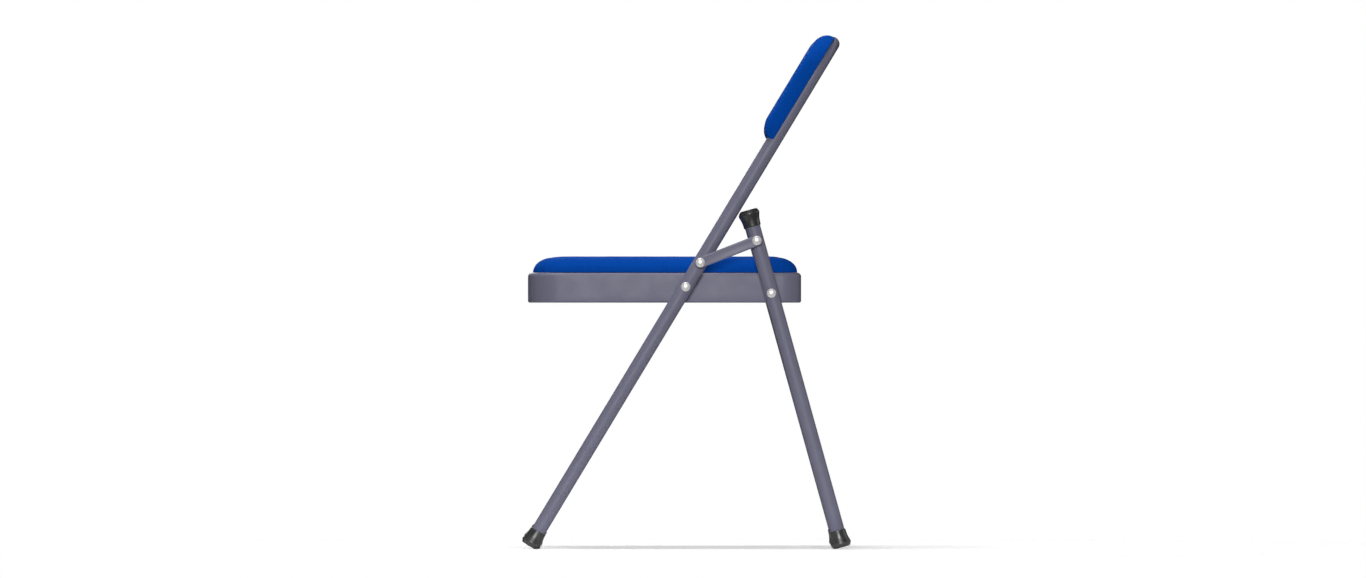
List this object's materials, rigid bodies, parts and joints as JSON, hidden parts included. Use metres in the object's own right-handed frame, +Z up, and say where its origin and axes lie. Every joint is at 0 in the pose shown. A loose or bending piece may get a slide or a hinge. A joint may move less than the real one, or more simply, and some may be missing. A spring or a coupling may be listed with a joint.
{
  "type": "folding chair",
  "caption": "Padded steel folding chair: a bent tube makes the front legs and back, and the seat, rear legs and side links fold up flat against it.",
  "frame": {"origin": "on the floor, at the middle of the open chair's footprint", "axes": "+Z up, -Y towards the front, where the sitter faces, +X towards the sitter's left"},
  "size_m": [0.4826, 0.4912, 0.7678],
  "materials": {
    "frame_paint": "satin",
    "blue_fabric": "matte",
    "black_rubber": "matte",
    "bright_rivet": "polished",
    "zinc_screw": "satin",
    "plywood": "matte",
    "grey_nylon": "matte"
  },
  "bodies": {
    "front_frame": {"front_frame_tube": "frame_paint", "front_cross_brace": "frame_paint", "back_panel": "frame_paint", "back_board": "plywood", "back_cushion": "blue_fabric", "back_screw_1": "zinc_screw", "back_screw_2": "zinc_screw", "back_screw_3": "zinc_screw", "back_screw_4": "zinc_screw", "front_foot_left": "black_rubber", "front_foot_right": "black_rubber", "seat_pivot_rivet_left": "bright_rivet", "seat_pivot_rivet_right": "bright_rivet"},
    "seat": {"seat_pan": "frame_paint", "seat_board": "plywood", "seat_cushion": "blue_fabric", "seat_stiffener_front": "frame_paint", "seat_stiffener_rear": "frame_paint", "seat_screw_1": "zinc_screw", "seat_screw_2": "zinc_screw", "seat_screw_3": "zinc_screw", "seat_screw_4": "zinc_screw", "seat_side_plate_left": "frame_paint", "seat_side_plate_right": "frame_paint", "seat_pivot_spacer_left": "grey_nylon", "seat_pivot_spacer_right": "grey_nylon", "leg_pivot_spacer_left": "grey_nylon", "leg_pivot_spacer_right": "grey_nylon"},
    "rear_legs": {"rear_leg_left": "frame_paint", "rear_leg_right": "frame_paint", "rear_foot_left": "black_rubber", "rear_foot_right": "black_rubber", "leg_top_cap_left": "black_rubber", "leg_top_cap_right": "black_rubber", "leg_pivot_rivet_left": "bright_rivet", "leg_pivot_rivet_right": "bright_rivet", "link_leg_rivet_left": "bright_rivet", "link_leg_rivet_right": "bright_rivet", "link_leg_washer_left": "grey_nylon", "link_leg_washer_right": "grey_nylon", "rear_cross_brace_upper": "frame_paint", "rear_cross_brace_lower": "frame_paint"},
    "links": {"link_bar_left": "frame_paint", "link_bar_right": "frame_paint", "link_frame_rivet_left": "bright_rivet", "link_frame_rivet_right": "bright_rivet", "link_frame_washer_left": "grey_nylon", "link_frame_washer_right": "grey_nylon"}
  },
  "joints": [
    {"name": "seat_fold", "type": "hinge", "parent": "front_frame", "child": "seat", "pos_m": [0, -0.0012, 0.3917], "axis": [-1, 0, 0], "range_deg": [0, 103.3]},
    {"name": "rear_leg_fold", "type": "hinge", "parent": "seat", "child": "rear_legs", "pos_m": [0, 0.1269, 0.3823], "axis": [-1, 0, 0], "range_deg": [-56.8, 0]},
    {"name": "link_swing", "type": "hinge", "parent": "rear_legs", "child": "links", "pos_m": [0, 0.10509, 0.46083], "axis": [-1, 0, 0], "range_deg": [0, 76.5]}
  ],
  "couplings": [
    {"joint": "rear_leg_fold", "follows": "seat_fold", "ratio": -0.5489},
    {"joint": "link_swing", "follows": "seat_fold", "ratio": 0.7395}
  ]
}
